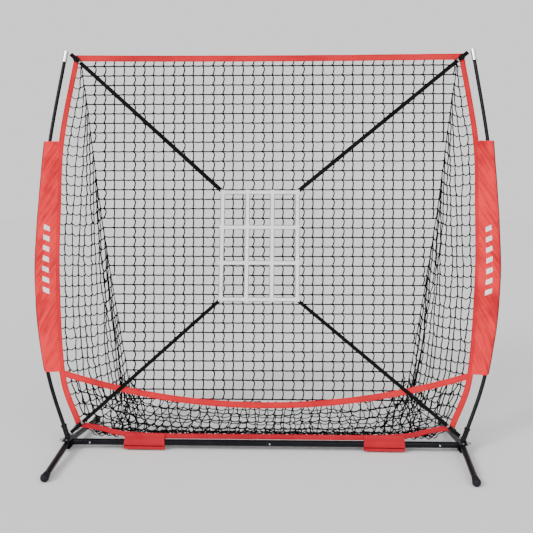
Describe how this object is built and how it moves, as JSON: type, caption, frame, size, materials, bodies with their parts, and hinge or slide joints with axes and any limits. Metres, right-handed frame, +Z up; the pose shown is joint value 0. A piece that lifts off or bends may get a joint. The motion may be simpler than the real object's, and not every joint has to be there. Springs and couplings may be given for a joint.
{
  "type": "pitching target net",
  "caption": "Leaning bow-frame baseball net with a folding steel base, a catching bag with a ball pocket, and a strap-hung strike zone.",
  "frame": {"origin": "bottom centre of the whole object, on the ground midway between the feet", "axes": "+X to the right as seen by the pitcher, +Y away from the pitcher, +Z up"},
  "size_m": [2.5198, 0.9714, 2.1442],
  "materials": {
    "black_steel": "gloss black powder coat",
    "black_pole": "gloss black fibreglass",
    "bright_steel": "bright nickel plate",
    "rubber": "matt moulded rubber",
    "red_fabric": "coated woven polyester",
    "netting": "knotted black twine",
    "white_webbing": "woven white webbing",
    "black_webbing": "woven elastic webbing",
    "black_plastic": "fine satin mould texture"
  },
  "bodies": {
    "frame": {"left_crossbar": "black_steel", "right_crossbar": "black_steel", "crossbar_coupler": "bright_steel", "left_button_spring": "bright_steel", "middle_button_spring": "bright_steel", "right_button_spring": "bright_steel", "left_hub": "black_steel", "left_front_leg_pin": "bright_steel", "left_rear_leg_pin": "bright_steel", "left_pole_section_1": "black_pole", "left_pole_section_2": "black_pole", "left_pole_section_3": "black_pole", "left_pole_ferrule_1": "bright_steel", "left_pole_ferrule_2": "bright_steel", "left_pole_tip": "bright_steel", "left_pole_sleeve": "red_fabric", "left_crossbar_tab": "red_fabric", "left_side_trim": "red_fabric", "left_upper_strap": "black_webbing", "left_lower_strap": "black_webbing", "left_strap_hook": "bright_steel", "left_side_net": "netting", "right_hub": "black_steel", "right_front_leg_pin": "bright_steel", "right_rear_leg_pin": "bright_steel", "right_pole_section_1": "black_pole", "right_pole_section_2": "black_pole", "right_pole_section_3": "black_pole", "right_pole_ferrule_1": "bright_steel", "right_pole_ferrule_2": "bright_steel", "right_pole_tip": "bright_steel", "right_pole_sleeve": "red_fabric", "right_crossbar_tab": "red_fabric", "right_side_trim": "red_fabric", "right_upper_strap": "black_webbing", "right_lower_strap": "black_webbing", "right_strap_hook": "bright_steel", "right_side_net": "netting", "top_trim": "red_fabric", "pocket_lip_trim": "red_fabric", "bottom_trim": "red_fabric", "back_net": "netting", "pocket_front_net": "netting", "pocket_floor_net": "netting", "strike_zone": "white_webbing"},
    "left_front_leg_body": {"left_front_leg": "black_steel", "left_front_foot": "rubber"},
    "left_rear_leg_body": {"left_rear_leg": "black_steel", "left_rear_foot": "rubber"},
    "right_front_leg_body": {"right_front_leg": "black_steel", "right_front_foot": "rubber"},
    "right_rear_leg_body": {"right_rear_leg": "black_steel", "right_rear_foot": "rubber"},
    "left_button_body": {"left_snap_button": "bright_steel"},
    "middle_button_body": {"middle_snap_button": "bright_steel"},
    "right_button_body": {"right_snap_button": "bright_steel"},
    "left_upper_slider_body": {"left_upper_strap_slider": "black_plastic"},
    "left_lower_slider_body": {"left_lower_strap_slider": "black_plastic"},
    "right_upper_slider_body": {"right_upper_strap_slider": "black_plastic"},
    "right_lower_slider_body": {"right_lower_strap_slider": "black_plastic"}
  },
  "joints": [
    {"name": "left_front_leg_fold", "type": "hinge", "parent": "frame", "child": "left_front_leg_body", "pos_m": [-1.011, -0.045, 0.04], "axis": [0, 0, 1], "range_deg": [0, 86]},
    {"name": "left_rear_leg_fold", "type": "hinge", "parent": "frame", "child": "left_rear_leg_body", "pos_m": [-1.011, 0.045, 0.04], "axis": [0, 0, 1], "range_deg": [-86, 0]},
    {"name": "right_front_leg_fold", "type": "hinge", "parent": "frame", "child": "right_front_leg_body", "pos_m": [1.011, -0.045, 0.04], "axis": [0, 0, 1], "range_deg": [-86, 0]},
    {"name": "right_rear_leg_fold", "type": "hinge", "parent": "frame", "child": "right_rear_leg_body", "pos_m": [1.011, 0.045, 0.04], "axis": [0, 0, 1], "range_deg": [0, 86]},
    {"name": "left_snap_button_press", "type": "slide", "parent": "frame", "child": "left_button_body", "axis": [0, 1, 0], "range_m": [0, 0.004], "stiffness_N_per_m": 1500, "springref_m": -0.001, "deforming": ["left_button_spring"]},
    {"name": "middle_snap_button_press", "type": "slide", "parent": "frame", "child": "middle_button_body", "axis": [0, 1, 0], "range_m": [0, 0.004], "stiffness_N_per_m": 1500, "springref_m": -0.001, "deforming": ["middle_button_spring"]},
    {"name": "right_snap_button_press", "type": "slide", "parent": "frame", "child": "right_button_body", "axis": [0, 1, 0], "range_m": [0, 0.004], "stiffness_N_per_m": 1500, "springref_m": -0.001, "deforming": ["right_button_spring"]},
    {"name": "left_upper_strap_adjust", "type": "slide", "parent": "frame", "child": "left_upper_slider_body", "axis": [0.7411, -0.1443, -0.6557], "range_m": [0, 0.12]},
    {"name": "left_lower_strap_adjust", "type": "slide", "parent": "frame", "child": "left_lower_slider_body", "axis": [0.7418, 0.1441, 0.655], "range_m": [0, 0.12]},
    {"name": "right_upper_strap_adjust", "type": "slide", "parent": "frame", "child": "right_upper_slider_body", "axis": [-0.7659, -0.1381, -0.6279], "range_m": [0, 0.12]},
    {"name": "right_lower_strap_adjust", "type": "slide", "parent": "frame", "child": "right_lower_slider_body", "axis": [-0.7706, 0.1369, 0.6224], "range_m": [0, 0.12]}
  ]
}
